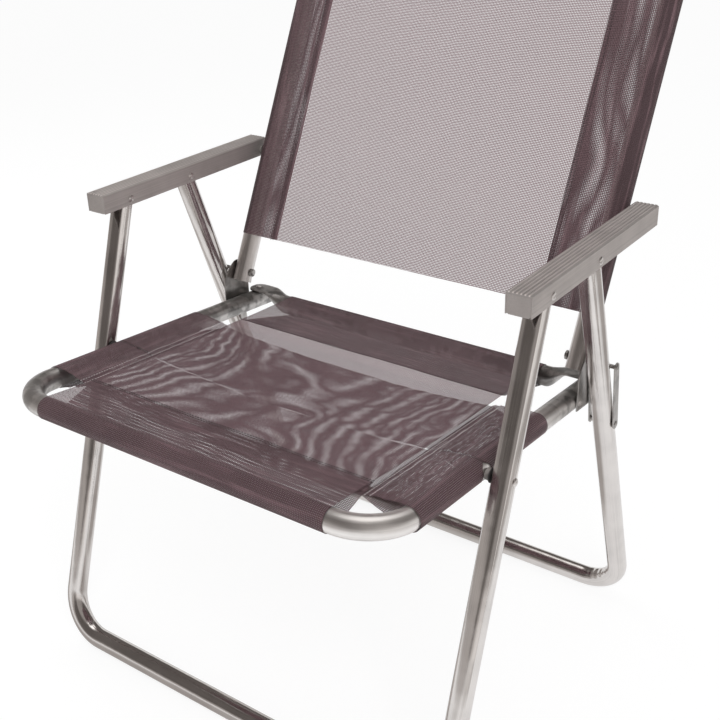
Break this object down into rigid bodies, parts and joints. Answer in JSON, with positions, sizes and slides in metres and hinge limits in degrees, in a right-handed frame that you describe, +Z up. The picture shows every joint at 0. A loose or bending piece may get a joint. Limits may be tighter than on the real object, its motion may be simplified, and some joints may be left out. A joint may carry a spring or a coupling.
{
  "type": "folding lawn chair",
  "caption": "Folding lawn chair of bent aluminium tube with ribbed channel armrests and stretched mesh slings; the back folds forward onto the seat and takes the legs with it.",
  "frame": {"origin": "on the floor, under the middle of the open chair's box", "axes": "+Z up, +Y to the rear, +X to the sitter's left"},
  "size_m": [0.6106, 0.6558, 0.8702],
  "materials": {
    "aluminium": "polished tube, drawn lengthwise",
    "steel": "plated, dull",
    "nylon": "matte",
    "mesh_cloth": "open woven mesh, grey brown"
  },
  "bodies": {
    "seat": {"seat_frame": "aluminium", "seat_rear_rail": "aluminium", "seat_sling_long": "mesh_cloth", "seat_sling_cross_front": "mesh_cloth", "seat_sling_cross_rear": "mesh_cloth", "corner_rivet_left": "aluminium", "seat_pivot_spacer_left": "nylon", "plate_rivet_front_left": "aluminium", "plate_rivet_rear_left": "aluminium", "corner_rivet_right": "aluminium", "seat_pivot_spacer_right": "nylon", "plate_rivet_front_right": "aluminium", "plate_rivet_rear_right": "aluminium", "hinge_plate_left": "steel", "hinge_bolt_left": "steel", "hinge_plate_right": "steel", "hinge_bolt_right": "steel"},
    "back": {"back_frame": "aluminium", "back_sling": "mesh_cloth", "armrest_pivot_rivet_left": "aluminium", "armrest_pivot_spacer_left": "nylon", "armrest_pivot_rivet_right": "aluminium", "armrest_pivot_spacer_right": "nylon"},
    "armrests": {"armrest_left": "aluminium", "armrest_front_cap_left": "aluminium", "armrest_rear_cap_left": "aluminium", "front_leg_rivet_left": "aluminium", "rear_leg_rivet_left": "aluminium", "armrest_right": "aluminium", "armrest_front_cap_right": "aluminium", "armrest_rear_cap_right": "aluminium", "front_leg_rivet_right": "aluminium", "rear_leg_rivet_right": "aluminium"},
    "front_legs": {"front_leg_frame": "aluminium", "seat_pivot_rivet_left": "aluminium", "seat_pivot_washer_left": "steel", "seat_pivot_rivet_right": "aluminium", "seat_pivot_washer_right": "steel"},
    "rear_legs": {"rear_leg_frame": "aluminium"},
    "links": {"link_inner_left": "steel", "link_outer_left": "steel", "link_pin_inner_left": "steel", "link_pin_outer_left": "steel", "link_inner_right": "steel", "link_outer_right": "steel", "link_pin_inner_right": "steel", "link_pin_outer_right": "steel"}
  },
  "joints": [
    {"name": "back_fold", "type": "hinge", "parent": "seat", "child": "back", "pos_m": [0, 0.09086, 0.4064], "axis": [1, 0, 0], "range_deg": [0, 100]},
    {"name": "armrest_turn", "type": "hinge", "parent": "back", "child": "armrests", "pos_m": [0, 0.16693, 0.5593], "axis": [1, 0, 0], "range_deg": [-97.2, 0]},
    {"name": "front_leg_turn", "type": "hinge", "parent": "armrests", "child": "front_legs", "pos_m": [0, -0.08422, 0.5593], "axis": [1, 0, 0], "range_deg": [0, 86.3]},
    {"name": "rear_leg_turn", "type": "hinge", "parent": "armrests", "child": "rear_legs", "pos_m": [0, 0.02328, 0.5593], "axis": [1, 0, 0], "range_deg": [0, 52.1]},
    {"name": "link_swing", "type": "hinge", "parent": "seat", "child": "links", "pos_m": [0, 0.09086, 0.4064], "axis": [1, 0, 0], "range_deg": [-75.8, 0]}
  ],
  "couplings": [
    {"joint": "armrest_turn", "follows": "back_fold", "ratio": -0.97126},
    {"joint": "front_leg_turn", "follows": "back_fold", "ratio": 0.86248},
    {"joint": "rear_leg_turn", "follows": "back_fold", "ratio": 0.52038},
    {"joint": "link_swing", "follows": "back_fold", "ratio": -0.75733}
  ]
}
